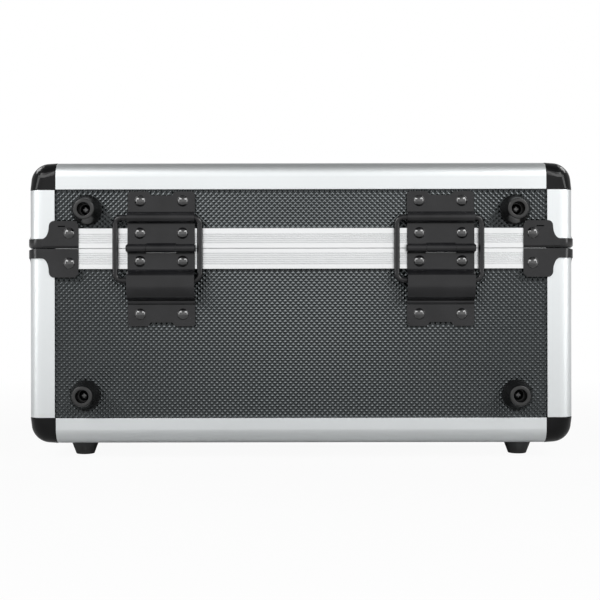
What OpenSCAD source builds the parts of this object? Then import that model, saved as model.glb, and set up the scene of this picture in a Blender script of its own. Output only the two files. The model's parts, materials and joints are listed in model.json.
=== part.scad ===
/* [Shell] */
// Outer width of the shell, left to right
shell_w = 410; // [370:1:460]
// Outer depth of the shell, hinge side to latch side
shell_d = 270; // [240:1:320]
// Height of the base shell, without its feet
base_h = 146.8; // [130:0.2:170]
// Height of the lid shell
lid_h = 65; // [62:0.5:80]
// Outer rounding of the aluminium edge profiles
edge_r = 11; // [10.5:0.25:11.5]
// Visible width of the corner posts
edge_leg = 20.2; // [18:0.1:22]
// Visible width of the base's edge profiles
base_leg = 19.5; // [18:0.1:22]
// Visible width of the lid's edge profiles
lid_leg = 20.7; // [18:0.1:22]
// Wall of the aluminium extrusions
wall_t = 1.5; // [1.2:0.1:2]
// Inner lip of the extrusions, behind the panels
lip_t = 1.5; // [1.2:0.1:2]
// Thickness of the laminated plywood panels
panel_t = 5; // [4:0.25:6]
// Clearance round a panel's edge in its slot
panel_gap = 0.2; // [0.1:0.05:0.5]
// How far a corner cap reaches past the posts' legs
cap_over = 0.7; // [0.4:0.1:2]
// How far a corner cap reaches past the profiles' legs, along the post
cap_rise = 0.3; // [0.2:0.1:1]
// How far a corner cap stands proud of the profiles
cap_proud = 0.2; // [0.1:0.1:1]
// Rounding of a cap's outermost corner
cap_round = 14.5; // [12:0.5:16]

/* [Rims] */
// Height of the ribbed rim strip on the base
base_rim_h = 15.3; // [14:0.1:18]
// Height of the ribbed rim strip on the lid
lid_rim_h = 15.1; // [14:0.1:18]
// Gap between the two rim strips when closed
seam_gap = 0.6; // [0.3:0.1:1]
// Web of the base rim, on top of its panels
rim_web = 3; // [2.4:0.1:3.2]
// Height of the locating tongue on the base rim
tongue_h = 3; // [2:0.1:3]
// Thickness of the locating tongue
tongue_t = 1.6; // [1.2:0.1:2]
// Depth of the tongue's outer face behind the rim face
tongue_in = 4; // [3.6:0.1:4]
// Headroom over the tongue inside the lid rim
tongue_gap = 0.6; // [0.5:0.1:1]
// Depth of the fine ribs' V-shaped grooves
rib_depth = 0.45; // [0.2:0.05:0.8]
// Width of the fine ribs' grooves
rib_groove_w = 0.9; // [0.6:0.1:1.2]
// Pitch of the fine ribs
rib_pitch = 1.54; // [1.4:0.02:1.7]
// Height above the seam of the lid's first groove
lid_rib_start = 4.4; // [3.8:0.1:5]
// Number of grooves on the lid rim
lid_ribs = 5; // [3:1:6]
// Depth below the seam of the base's first groove
base_rib_start = 3.8; // [3.4:0.1:4.4]
// Number of grooves on the base rim
base_ribs = 6; // [3:1:7]

/* [Corner brackets] */
// Sheet thickness of the corner brackets
bracket_t = 1.2; // [0.8:0.1:1.6]
// Length of a bracket along each wall
bracket_len = 38.3; // [36.5:0.1:38.4]
// Height of the lid bracket's plate
lid_bracket_h = 20.6; // [19:0.1:20.7]
// Height of the base bracket's plate
base_bracket_h = 21.5; // [19:0.1:24]
// Height of the narrow band round the corner
bracket_band = 7.1; // [6:0.1:8]
// Distance along the wall at which the band starts to widen
curve_start = 10.9; // [10:0.1:11.5]
// Distance along the wall at which the full height is reached
curve_end = 19.9; // [19:0.1:21.5]
// Gap between a bracket's edge and the seam
bracket_gap = 0.25; // [0.2:0.05:1]
// Relief of a bracket's seam edge round the corner and on the side walls
side_relief = 0.85; // [0.4:0.05:1.4]
// Distance from the corner at which that relief starts
relief_start = 3.4; // [2:0.1:5]
// Height of the slanted edge along the seam of a lid bracket
bevel_h = 1.8; // [1:0.1:3]
// Sheet thickness left at that edge
bevel_t = 0.3; // [0.2:0.1:0.6]
// Length of the slot in a lid bracket
slot_len = 5.7; // [4:0.1:7]
// Height of that slot
slot_h = 0.8; // [0.5:0.1:1.2]
// Distance of the slot's middle from the corner
slot_x = 25.8; // [24:0.1:26]
// Height above the seam of the slot
slot_z = 16.6; // [16.4:0.1:17.4]
// Cut-off free corner of a bracket
bracket_chamfer = 2.8; // [2.7:0.1:3.5]
// Distance of the bracket rivets from the corner
bracket_rivet_x = 31.2; // [30:0.1:32]

/* [Rivets and screws] */
// Head diameter of the domed rivets
rivet_d = 8.6; // [7:0.1:9]
// Height of the domed heads
rivet_h = 2.1; // [1.5:0.1:2.4]
// Shank diameter of the rivets
shank_d = 4; // [3:0.1:4.5]
// Clearance round a rivet or screw shank
shank_gap = 0.05; // [0.02:0.01:0.2]
// Diameter of the clinched tails inside the case
tail_d = 7; // [6:0.1:7.5]
// Thickness of the clinched tails
tail_t = 1.2; // [0.8:0.1:1.4]
// Height above the seam of the rim rivets on the lid
lid_rim_rivet_z = 11.4; // [10.4:0.1:11.6]
// Depth below the seam of the hinges' rivets on the base's rim
base_rim_rivet_z = 9.7; // [9:0.1:10]
// Depth below the seam of the rivets in the base's brackets
base_bracket_rivet_z = 11; // [10:0.1:11.2]

/* [Hinges] */
// Distance of each hinge and latch from the nearer side of the case
hinge_in = 100.3; // [85:0.1:112]
// Width of a hinge plate
plate_w = 50.5; // [46:0.5:56]
// Sheet thickness of the hinge plates
plate_t = 1.2; // [1:0.1:1.3]
// Distance of the hinge axis outside the rim face
hinge_out = 3.35; // [3.3:0.05:3.5]
// Outer radius of the hinge knuckles
knuckle_r = 3.2; // [2.9:0.05:3.2]
// Radius of the hinge pin
pin_r = 1.6; // [1.2:0.05:1.7]
// Radial clearance of pins in their bores
pin_gap = 0.05; // [0.02:0.01:0.1]
// Radius of the hinge pin's flat heads
pin_head_r = 2.5; // [2.2:0.1:3]
// Thickness of the pin heads
pin_head_t = 0.8; // [0.5:0.1:1.5]
// Half width of the lid's middle knuckle
mid_knuckle_w = 10.9; // [9:0.1:13]
// Side clearance between neighbouring knuckles
knuckle_gap = 0.3; // [0.2:0.05:0.6]
// Start of the knuckles' necks above and below the axis
neck_start = 0.8; // [0.5:0.1:1.2]
// Start of the lid plate's flat above the axis
upper_leaf_start = 2.8; // [2.7:0.1:3.4]
// Start of the base plate's flat below the axis
leaf_start = 3.4; // [3.3:0.1:4]
// Distance of the hinge rivets to each side of the plate's middle
hinge_rivet_x = 16; // [14:0.5:17]
// Height above the seam of the lid plate's top edge
upper_leaf_top = 42.8; // [42:0.2:45]
// Height above the seam of the upper rivet row
upper_rivet_z = 35.7; // [35:0.1:36.5]
// Depth below the seam of the base plate's bottom edge
lower_leaf_end = 58.4; // [57:0.1:61]
// Depth below the seam of the lower rivet row
lower_rivet_z = 49.3; // [48:0.1:51]
// Rounding of the plates' free corners
plate_corner_r = 3; // [1:0.5:4]
// Half width of the shallow notches in the plates' ends
notch_w = 8; // [7:0.2:11]
// Depth of the notches
notch_d = 2.9; // [1:0.1:3]
// Height over the base rim's lower edge at which the base plate starts to sweep outward
sweep_up = 0.8; // [0.6:0.1:1]
// Radius of that sweep
sweep_r = 3; // [2.6:0.1:3.4]
// Turn of the sweep, from straight down
sweep_turn = 66; // [60:1:72]
// How far the hump's outer face stands off the rim face
hump_out = 8.7; // [8.6:0.05:9]
// Depth below the seam at which the hump starts to curve in
hump_shoulder = 28; // [27.5:0.1:29]
// Depth below the seam at which the hump meets the flat
hump_end = 39.2; // [39:0.1:42]

/* [Lid stays] */
// Wire diameter of the ring stays
wire_d = 4.4; // [3:0.1:4.5]
// Height of the upper bar above the seam
stay_up = 23; // [22.8:0.1:23.2]
// Depth of the lower bar below the seam
stay_down = 24; // [23.8:0.1:24.2]
// Distance of the bars' centres outside the rim face
stay_out = 2.4; // [2.3:0.05:2.5]
// How far the left ring has slid towards the photograph's left
stay_slide_left = 2.6; // [-3:0.1:3]
// How far the right ring has slid towards the photograph's left
stay_slide_right = 1.3; // [-3:0.1:3]
// Distance of a ring's side wires beyond the hinge plate, with the ring in the middle
stay_side = 6.4; // [5:0.1:8]
// Bend radius of the wire, to its middle
stay_bend = 5; // [4:0.25:8]
// Clearance between the wire and its channel
channel_gap = 0.4; // [0.2:0.05:0.5]

/* [Feet and bumpers] */
// Height of the rubber feet
foot_h = 11; // [8:0.5:14]
// Diameter of a foot at the shell
foot_d = 21.5; // [18:0.5:26]
// Diameter of a foot at its tip
foot_tip_d = 14.5; // [13:0.5:17]
// Distance of the feet from the left and right faces
foot_side = 37; // [34:0.5:50]
// Distance of the feet from the front and rear faces
foot_in = 33; // [31:1:50]
// Diameter of a rear bumper at the panel
bumper_d = 23; // [20:0.2:23.2]
// Diameter of a rear bumper at its tip
bumper_tip_d = 15.5; // [14:0.5:18]
// Height of the rear bumpers
bumper_h = 14; // [11.2:0.2:15]
// Height of the plain rim at a bumper's base
bumper_lip = 2.4; // [1.8:0.1:3]
// Rounding at the tips of bumpers and feet
buffer_round = 1; // [0.6:0.1:1.4]
// Bore of the bumpers and feet, above the screw's head
bumper_bore = 10; // [9:0.25:10.5]
// Distance of the lid's bumpers from the left and right faces
lid_bumper_side = 44.2; // [44.1:0.1:47]
// Distance of the base's bumpers from the left and right faces
base_bumper_side = 42.8; // [40:0.1:47]
// Distance of the lid's bumpers below its top
lid_bumper_down = 36.2; // [33:0.1:36.3]
// Height of the base's bumpers above the shell's bottom
base_bumper_up = 36.8; // [34:0.2:60]
// Rubber left under the screw heads
screw_seat = 3; // [2:0.5:4]
// Head diameter of the screws
screw_head_d = 8; // [7:0.25:8.5]
// Head height of the screws
screw_head_h = 2.4; // [2:0.2:3]

/* [Latches] */
// Width of a latch plate
latch_w = 36; // [34:0.5:44]
// Depth below the seam of the latch plate's bottom edge
latch_end = 57; // [55:0.5:62]
// Distance of the plate's rivets from its side edges
latch_rivet_in = 5; // [4.6:0.1:6]
// Depth below the seam of the plate's upper rivets
latch_rivet_z = 7.6; // [7:0.1:8.4]
// Distance of the plate's lower rivets from its bottom edge
latch_rivet_up = 6.5; // [5.5:0.1:7.5]
// Distance of the lever's pivot outside the rim face
pivot_out = 5.5; // [5.3:0.1:6]
// Depth below the seam of the lever's pivot
pivot_z = 16; // [15.6:0.1:17]
// Crank of the lever, from its pivot to the claw's pin
crank = 10; // [9.5:0.1:10.5]
// Angle of the crank outward from straight down, closed
crank_angle = 20; // [17:0.5:23]
// Half width of a lever over its cheeks
lever_half_w = 11; // [10:0.25:12]
// Sheet thickness of levers and claws
lever_t = 1.5; // [1.2:0.1:1.8]
// Length of the lever's grip plate below the claw's pin
grip_len = 24; // [20:0.5:28]
// How far the grip's tip curls outward
grip_curl = 4; // [2:0.25:6]
// Height of the grip's curled tip
grip_tip_h = 5.4; // [4:0.2:7]
// Half width of a claw
claw_half_w = 7.6; // [6:0.2:8]
// Height above the seam of the claw's tooth
tooth_z = 8.1; // [7.9:0.1:8.5]
// Distance of the tooth's tip outside the rim face
tooth_out = 4.6; // [4.2:0.1:5.2]
// Radius of the small latch pins
latch_pin_r = 1.4; // [1:0.1:1.5]
// Clearance between latch pieces that slide past each other
latch_gap = 0.3; // [0.2:0.05:0.5]
// Height above the seam of the keepers' rivets
keeper_rivet_z = 10.6; // [10:0.1:10.8]
// Distance of the keeper's rivets to each side
keeper_rivet_x = 13.5; // [12.8:0.1:14.5]

/* [Carry handle] */
// Distance of the handle's arms from the middle of the nearer latch
arm_in = 55; // [52:1:70]
// Length of the handle's arms
arm_len = 36; // [32:1:44]
// Diameter of the handle's steel bar
bar_d = 6; // [5:0.25:6.5]
// Bend radius of the bar, to its middle
bar_bend = 9; // [8:0.5:12]
// Depth below the seam of the handle's pivot
handle_z = 42; // [38:0.5:60]
// Distance of the handle's pivot outside the rim face
handle_out = 8.5; // [8.3:0.1:10]
// Diameter of the grip
grip_d = 15; // [13:0.5:17]
// Wall of the brackets' rolled eyes
eye_t = 1.6; // [1.2:0.1:2]
// Width of a handle bracket
bracket_w = 12; // [10:0.5:14]
// Height of a handle bracket's plate
handle_plate_h = 34; // [30:1:40]

/* [Foam insert] */
// Clearance of the foam behind the walls' inner lips
foam_gap = 2; // [1.6:0.1:4]
// Thickness of the foam under the microphones
foam_floor_t = 8; // [6:0.5:14]
// Thickness of the foam along the walls
foam_wall = 16; // [12:0.5:22]
// Thickness of the foam between two wells
foam_divider = 22; // [16:0.5:26]
// Columns of microphone wells
mic_cols = 6; // [4:1:7]
// Rows of microphone wells
mic_rows = 2; // [1:1:2]
// Size of a well from front to back
well_d = 40; // [36:0.5:46]
// How far the foam's top lies below the seam
foam_below = 20; // [12:1:30]
// Thickness of the lid's foam pad
lid_foam_t = 20; // [12:1:24]

/* [Hidden] */
$fn = 64;

// Colours as the photograph shows them
ALU = [0.82, 0.83, 0.84];
PANEL = [0.16, 0.17, 0.17];
BLACK = [0.11, 0.11, 0.12];
RUBBER = [0.08, 0.08, 0.08];
STEEL = [0.62, 0.63, 0.64];
FOAM = [0.2, 0.2, 0.22];

// Walls, by the direction that each faces
REAR = -90;
FRONT = 90;
RIGHT = 0;
LEFT = 180;
BIG = 1000;

// Depths behind the outer face of a wall
panel_in = wall_t;
slot_t = panel_t;
lip_in = wall_t + slot_t;
grip_in = lip_in + lip_t;
panel_edge = edge_r + panel_gap;
cap_w = edge_leg + cap_over;
base_cap_h = base_leg + cap_rise;
lid_cap_h = lid_leg + cap_rise;
stay_half_w = plate_w / 2 + stay_side;
crank_out = pivot_out + crank * sin(crank_angle);
crank_z = -pivot_z - crank * cos(crank_angle);
grip_out = crank_out + latch_pin_r + lever_t - latch_gap;
rear_reach = bumper_h - panel_in;
front_reach = max(handle_out + grip_d / 2, grip_out + lever_t + grip_curl);
shell_y = (rear_reach - front_reach) / 2;
seam_z = foot_h + base_h;
shell_top = seam_z + lid_h;
hinge_x = shell_w / 2 - hinge_in;
arm_x = hinge_x - arm_in;
foot_x = shell_w / 2 - foot_side;
lid_bumper_x = shell_w / 2 - lid_bumper_side;
base_bumper_x = shell_w / 2 - base_bumper_side;
lid_bumper_z = lid_h - lid_bumper_down;
base_bumper_z = base_h - base_bumper_up;
half_gap = seam_gap / 2;
shank_r = shank_d / 2;

// Rivets and screws as [along the wall, above the seam]
SIDES = [-1, 1];
hinge_low = [for (s = SIDES, k = SIDES, z = [base_rim_rivet_z, lower_rivet_z])
    [s * hinge_x + k * hinge_rivet_x, -z]];
hinge_high = [for (s = SIDES, k = SIDES, z = [lid_rim_rivet_z, upper_rivet_z])
    [s * hinge_x + k * hinge_rivet_x, z]];
latch_rivet_x = latch_w / 2 - latch_rivet_in;
latch_low_z = latch_end - latch_rivet_up;
latch_spots = [for (s = SIDES, k = SIDES, z = [latch_rivet_z, latch_low_z])
    [s * hinge_x + k * latch_rivet_x, -z]];
keeper_spots = [for (s = SIDES, k = SIDES) [s * hinge_x + k * keeper_rivet_x, keeper_rivet_z]];
eye_gap = 0.5;
eye_x = arm_x + bar_bend + bracket_w / 2 + eye_gap;
handle_rivet_in = 5;
handle_low_z = handle_z + handle_plate_h / 2 - handle_rivet_in;
handle_high_z = handle_z - handle_plate_h / 2 + handle_rivet_in;
handle_spots = [for (s = SIDES, z = [handle_high_z, handle_low_z]) [s * eye_x, -z]];
base_bumper_spots = [for (s = SIDES) [s * base_bumper_x, -base_bumper_z]];
lid_bumper_spots = [for (s = SIDES) [s * lid_bumper_x, lid_bumper_z]];
foot_spots = [for (s = SIDES, k = SIDES) [s * foot_x, shell_y + k * (shell_d / 2 - foot_in)]];

function half_of(wall) = (wall == REAR || wall == FRONT) ? shell_d / 2 : shell_w / 2;
function width_of(wall) = (wall == REAR || wall == FRONT) ? shell_w : shell_d;
function bracket_spots(wall, z) = [for (s = SIDES) [s * (width_of(wall) / 2 - bracket_rivet_x), z]];

// A wall's own frame: +X points out of the case, Y runs along the wall, Z is height above the seam
module on_wall(wall) {
    translate([0, shell_y, seam_z])
        rotate([0, 0, wall])
            translate([half_of(wall), 0, 0])
                children();
}

// A corner's own frame: +X and +Y point into the case along the two walls
module on_corner(sx, sy) {
    translate([0, shell_y, 0])
        mirror([sx > 0 ? 1 : 0, 0, 0])
            mirror([0, sy > 0 ? 1 : 0, 0])
                translate([-shell_w / 2, -shell_d / 2, 0])
                    children();
}

module on_corners() {
    for (sx = SIDES, sy = SIDES)
        on_corner(sx, sy)
            children();
}

// An outline in (outward, height), drawn out along a wall
module along_wall(length) {
    rotate([90, 0, 0])
        linear_extrude(length, center = true)
            children();
}

// An outline in (along the wall, height), drawn outward from one depth to another
module out_of_wall(from, to) {
    translate([from, 0, 0])
        rotate([90, 0, 90])
            linear_extrude(to - from)
                children();
}

module bores(spots, r = shank_r) {
    for (p = spots)
        translate([-BIG / 20, p[0], p[1]])
            rotate([0, 90, 0])
                cylinder(r = r + shank_gap, h = BIG / 10);
}

module dome_2d(r, h) {
    dome_r = (r * r + h * h) / (2 * h);
    intersection() {
        translate([0, h - dome_r])
            circle(r = dome_r, $fn = 96);
        square([r, h]);
    }
}

// A rivet whose head sits at seat, and whose clinched tail lies on the wall's inner face at -depth
module wall_rivet(p, seat, depth) {
    translate([seat, p[0], p[1]])
        rotate([0, 90, 0])
            rotate_extrude()
                dome_2d(rivet_d / 2, rivet_h);
    translate([-depth - tail_t, p[0], p[1]])
        rotate([0, 90, 0]) {
            cylinder(r = shank_r, h = seat + depth + tail_t);
            cylinder(r = tail_d / 2, h = tail_t);
        }
}

// Aluminium edge profile: a rounded corner with a slot for each of its two panels
module edge_2d(leg_x, leg_y) {
    difference() {
        union() {
            intersection() {
                translate([edge_r, edge_r])
                    circle(r = edge_r, $fn = 96);
                square(edge_r);
            }
            translate([edge_r, 0])
                square([leg_x - edge_r, grip_in]);
            translate([0, edge_r])
                square([grip_in, leg_y - edge_r]);
        }
        translate([edge_r, panel_in])
            square([leg_x, slot_t]);
        translate([panel_in, edge_r])
            square([slot_t, leg_y]);
        translate([grip_in, grip_in])
            square(leg_x + leg_y);
    }
}

module base_edge(wall) {
    on_wall(wall)
        translate([0, 0, -base_h])
            along_wall(width_of(wall) - 2 * cap_w)
                mirror([1, 0])
                    edge_2d(base_leg, base_leg);
}

module lid_edge(wall) {
    on_wall(wall)
        translate([0, 0, lid_h])
            along_wall(width_of(wall) - 2 * cap_w)
                mirror([0, 1])
                    mirror([1, 0])
                        edge_2d(lid_leg, lid_leg);
}

// V-shaped groove of a rib, across the rim's face
module rib_groove_2d(z) {
    translate([0, z])
        polygon([[-rib_depth, 0], [0, rib_groove_w / 2], [1, rib_groove_w / 2], [1, -rib_groove_w / 2],
                 [0, -rib_groove_w / 2]]);
}

module base_rim_2d() {
    difference() {
        union() {
            translate([-wall_t, -base_rim_h])
                square([wall_t, base_rim_h - half_gap]);
            translate([-grip_in, -base_rim_h])
                square([lip_t, base_rim_h - half_gap]);
            translate([-grip_in, -rim_web])
                square([grip_in, rim_web - half_gap]);
            translate([-tongue_in - tongue_t, -rim_web])
                square([tongue_t, rim_web + tongue_h]);
        }
        for (i = [0:base_ribs - 1])
            rib_groove_2d(-base_rib_start - i * rib_pitch);
    }
}

lid_web_z = tongue_h + tongue_gap;
module lid_rim_2d() {
    difference() {
        union() {
            translate([-wall_t, half_gap])
                square([wall_t, lid_rim_h - half_gap]);
            translate([-grip_in, half_gap])
                square([lip_t, lid_rim_h - half_gap]);
            translate([-grip_in, lid_web_z])
                square([grip_in, rim_web]);
        }
        for (i = [0:lid_ribs - 1])
            rib_groove_2d(lid_rib_start + i * rib_pitch);
    }
}

module rim(wall) {
    on_wall(wall)
        along_wall(width_of(wall) - 2 * edge_leg)
            children();
}

// Upright panel of one wall, between two heights above the seam
module wall_panel(wall, low, high) {
    on_wall(wall)
        translate([-lip_in, -width_of(wall) / 2 + panel_edge, low])
            cube([panel_t, width_of(wall) - 2 * panel_edge, high - low]);
}

module flat_panel(z) {
    translate([-shell_w / 2 + panel_edge, shell_y - shell_d / 2 + panel_edge, z])
        cube([shell_w - 2 * panel_edge, shell_d - 2 * panel_edge, panel_t]);
}

base_panel_low = -base_h + panel_edge;
base_panel_high = -rim_web - panel_gap;
lid_panel_low = lid_web_z + rim_web + panel_gap;
lid_panel_high = lid_h - panel_edge;

// Moulded corner cap of height h, drawn for the corner where both walls and the floor meet
module cap(h) {
    r = edge_r + cap_proud;
    thin = 0.5;
    difference() {
        intersection() {
            hull() {
                translate([cap_round, cap_round, cap_round])
                    sphere(r = cap_round + cap_proud, $fn = 48);
                translate([edge_r, edge_r, h])
                    cylinder(r = r, h = thin, $fn = 48);
                translate([cap_w, edge_r, edge_r])
                    rotate([0, 90, 0])
                        cylinder(r = r, h = thin, $fn = 48);
                translate([edge_r, cap_w + thin, edge_r])
                    rotate([90, 0, 0])
                        cylinder(r = r, h = thin, $fn = 48);
                translate([-cap_proud, edge_r, h])
                    cube([cap_w, cap_w, thin]);
                translate([edge_r, -cap_proud, h])
                    cube([cap_w, cap_w, thin]);
                translate([cap_w, -cap_proud, edge_r])
                    cube([thin, cap_w, h]);
                translate([cap_w, edge_r, -cap_proud])
                    cube([thin, cap_w, h]);
                translate([-cap_proud, cap_w, edge_r])
                    cube([cap_w, thin, h]);
                translate([edge_r, cap_w, -cap_proud])
                    cube([cap_w, thin, h]);
            }
            translate([-1, -1, -1])
                cube([cap_w + 1, cap_w + 1, h + 1]);
        }
        translate([edge_r, edge_r, panel_in])
            cube([cap_w, cap_w, slot_t]);
        translate([panel_in, edge_r, edge_r])
            cube([slot_t, cap_w, h]);
        translate([edge_r, panel_in, edge_r])
            cube([cap_w, slot_t, h]);
        translate([grip_in, grip_in, grip_in])
            cube(BIG / 20);
    }
}

// Rounded corner outline of the shell, grown by off, out to length on both walls
module corner_2d(off, length) {
    translate([edge_r, edge_r])
        circle(r = edge_r + off, $fn = 96);
    translate([edge_r, -off])
        square([length - edge_r, length]);
    translate([-off, edge_r])
        square([length, length - edge_r]);
}

// Outline cut away from a bracket: above the band, with an S-curve up to the full height
curve_steps = 8;
turn_along = 0.57;
turn_up = 0.7;
module bracket_cut_2d(height) {
    mid_x = curve_start + (curve_end - curve_start) * turn_along;
    mid_z = bracket_band + (height - bracket_band) * turn_up;
    polygon(concat(
        [[-BIG / 50, bracket_band]],
        [for (i = [0:curve_steps])
            [curve_start + (mid_x - curve_start) * sin(90 * i / curve_steps),
             mid_z - (mid_z - bracket_band) * cos(90 * i / curve_steps)]],
        [for (i = [1:curve_steps])
            [curve_end - (curve_end - mid_x) * cos(90 * i / curve_steps),
             mid_z + (height - mid_z) * sin(90 * i / curve_steps)]],
        [[curve_end, height + 1], [-BIG / 50, height + 1]]
    ));
    polygon([[bracket_len - bracket_chamfer, height], [bracket_len, height - bracket_chamfer],
             [bracket_len + 1, height - bracket_chamfer], [bracket_len + 1, height + 1],
             [bracket_len - bracket_chamfer, height + 1]]);
}

// A bracket that stands on z = 0 and widens upward
module corner_bracket(height) {
    difference() {
        linear_extrude(height)
            difference() {
                intersection() {
                    corner_2d(bracket_t, bracket_len);
                    translate([-bracket_t, -bracket_t])
                        square(bracket_len + bracket_t);
                }
                corner_2d(0, bracket_len + 2);
            }
        translate([0, curve_start, 0])
            rotate([90, 0, 0])
                linear_extrude(curve_start + 2 * bracket_t)
                    bracket_cut_2d(height);
        mirror([1, -1, 0])
            translate([0, curve_start, 0])
                rotate([90, 0, 0])
                    linear_extrude(curve_start + 2 * bracket_t)
                        bracket_cut_2d(height);
        translate([0, bracket_len + 1, 0])
            rotate([90, 0, 0])
                linear_extrude(bracket_len + 3 * bracket_t)
                    polygon([[-2 * bracket_t, -1], [-2 * bracket_t, side_relief + 0.2], [relief_start, 0],
                             [relief_start, -1]]);
    }
}

// Room that the slanted seam edge of a lid bracket leaves it, above z = 0
module beveled_room() {
    translate([-2 * bracket_t, -2 * bracket_t, bevel_h])
        cube(bracket_len + 4 * bracket_t);
    translate([edge_r, edge_r, 0])
        cylinder(r1 = edge_r + bevel_t, r2 = edge_r + bracket_t, h = bevel_h, $fn = 96);
    for (flip = [0, 1])
        mirror([flip, -flip, 0])
            translate([0, bracket_len + 1, 0])
                rotate([90, 0, 0])
                    linear_extrude(bracket_len + 1 - edge_r)
                        polygon([[-bevel_t, 0], [-bracket_t, bevel_h], [edge_r, bevel_h], [edge_r, 0]]);
}

// Slots through both plates of a lid bracket
module bracket_slots() {
    for (flip = [0, 1])
        mirror([flip, -flip, 0])
            translate([slot_x - slot_len / 2, -2 * bracket_t, slot_z - bracket_gap - slot_h / 2])
                cube([slot_len, 3 * bracket_t, slot_h]);
}

// Sheet outline with rounded free corners at one end and a shallow notch between them
module leaf_outline_2d(width, from, to) {
    difference() {
        union() {
            translate([-width / 2, from])
                square([width, to - from - plate_corner_r]);
            translate([-width / 2 + plate_corner_r, from])
                square([width - 2 * plate_corner_r, to - from]);
            for (s = SIDES)
                translate([s * (width / 2 - plate_corner_r), to - plate_corner_r])
                    circle(r = plate_corner_r);
        }
        polygon([[-notch_w - notch_d, to + 1], [-notch_w, to - notch_d], [notch_w, to - notch_d],
                 [notch_w + notch_d, to + 1]]);
    }
}

channel_in_r = wire_d / 2 + channel_gap;
channel_out_r = channel_in_r + plate_t;
channel_fillet = 1.2;

// Concave rounding in the corner at the origin, between +X and +Y
module fillet_2d(r) {
    difference() {
        translate([-plate_t / 2, -plate_t / 2])
            square(r + plate_t / 2);
        translate([r, r])
            circle(r = r);
    }
}

knuckle_fillet = 1.5;
fillet_out = plate_t + knuckle_fillet;
fillet_z = sqrt(pow(knuckle_r + knuckle_fillet, 2) - pow(hinge_out - fillet_out, 2));
module knuckle_2d() {
    translate([hinge_out, 0])
        circle(r = knuckle_r);
    difference() {
        polygon([[0, neck_start], [0, fillet_z], [fillet_out, fillet_z], [hinge_out, neck_start]]);
        translate([fillet_out, fillet_z])
            circle(r = knuckle_fillet);
    }
}

// Lid plate of a hinge: a flat on the rim, a channel round the stay's upper bar, a flat on the panel
module upper_leaf_2d() {
    translate([0, upper_leaf_start])
        square([plate_t, stay_up - channel_in_r - upper_leaf_start]);
    translate([0, stay_up - channel_out_r])
        square([stay_out, plate_t]);
    translate([-panel_in, stay_up + channel_in_r])
        square([panel_in + stay_out, plate_t]);
    translate([-panel_in, stay_up + channel_in_r])
        square([plate_t, upper_leaf_top - stay_up - channel_in_r]);
    translate([plate_t, stay_up - channel_out_r])
        mirror([0, 1])
            fillet_2d(channel_fillet);
    translate([plate_t - panel_in, stay_up + channel_out_r])
        fillet_2d(channel_fillet);
    translate([stay_out, stay_up])
        difference() {
            circle(r = channel_out_r);
            circle(r = channel_in_r);
            translate([-2 * channel_out_r, -channel_out_r - 1])
                square([2 * channel_out_r, 2 * channel_out_r + 2]);
        }
}

module upper_leaf(s) {
    color(BLACK)
        on_wall(REAR)
            translate([0, s * hinge_x, 0])
                difference() {
                    union() {
                        intersection() {
                            along_wall(plate_w)
                                upper_leaf_2d();
                            out_of_wall(-BIG / 50, BIG / 50)
                                leaf_outline_2d(plate_w, upper_leaf_start, upper_leaf_top);
                        }
                        along_wall(2 * mid_knuckle_w)
                            knuckle_2d();
                    }
                    translate([hinge_out, 0, 0])
                        rotate([90, 0, 0])
                            cylinder(r = pin_r + pin_gap, h = plate_w, center = true);
                    bores([for (p = hinge_high) [p[0] - s * hinge_x, p[1]]]);
                }
}

// Base plate of a hinge, drawn downward: a flat on the rim, a sweep outward to the hump that houses the
// stay's lower bar, a small bead under the hump, and a flat on the panel
hump_steps = 14;
function hump_curve(off) = [for (i = [0:hump_steps])
    let (a = 90 * i / hump_steps)
    [-panel_in + plate_t + (hump_out + panel_in - plate_t - off) * cos(a),
     hump_shoulder + (hump_end - hump_shoulder - off) * sin(a)]];
sweep_steps = 8;
sweep_top = base_rim_h - sweep_up;
sweep_out = plate_t + sweep_r;
function sweep_arc(r) = [for (i = [0:sweep_steps])
    let (a = sweep_turn * i / sweep_steps)
    [sweep_out - r * cos(a), sweep_top + r * sin(a)]];

// Depth at which the straight run after the sweep, off behind its face, is so far out
function run_depth(r, out) = sweep_top + r * sin(sweep_turn)
    + (out - sweep_out + r * cos(sweep_turn)) / tan(sweep_turn);
lip_cut = 0.6;
bead_r = 2.2;
bead_out = 1.3;
bead_drop = 1;

module lower_leaf_2d() {
    inner_out = hump_out - plate_t;
    back_r = sweep_r + plate_t;
    polygon(concat(
        [[0, leaf_start], [plate_t, leaf_start]],
        sweep_arc(sweep_r),
        [[hump_out - lip_cut, run_depth(sweep_r, hump_out - lip_cut)],
         [hump_out, run_depth(sweep_r, hump_out) + lip_cut]],
        hump_curve(0),
        [[-panel_in, hump_end], [-panel_in, hump_end - plate_t]],
        [for (i = [hump_steps:-1:0]) hump_curve(plate_t)[i]],
        [[inner_out, run_depth(back_r, inner_out)]],
        [for (i = [sweep_steps:-1:0]) sweep_arc(back_r)[i]]
    ));
    intersection() {
        translate([plate_t - panel_in + bead_out - bead_r, hump_end + bead_drop])
            circle(r = bead_r);
        translate([-panel_in, hump_end - plate_t])
            square(2 * bead_r + plate_t);
    }
    translate([-panel_in, hump_end - plate_t])
        square([plate_t, lower_leaf_end - hump_end + plate_t]);
}

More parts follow.
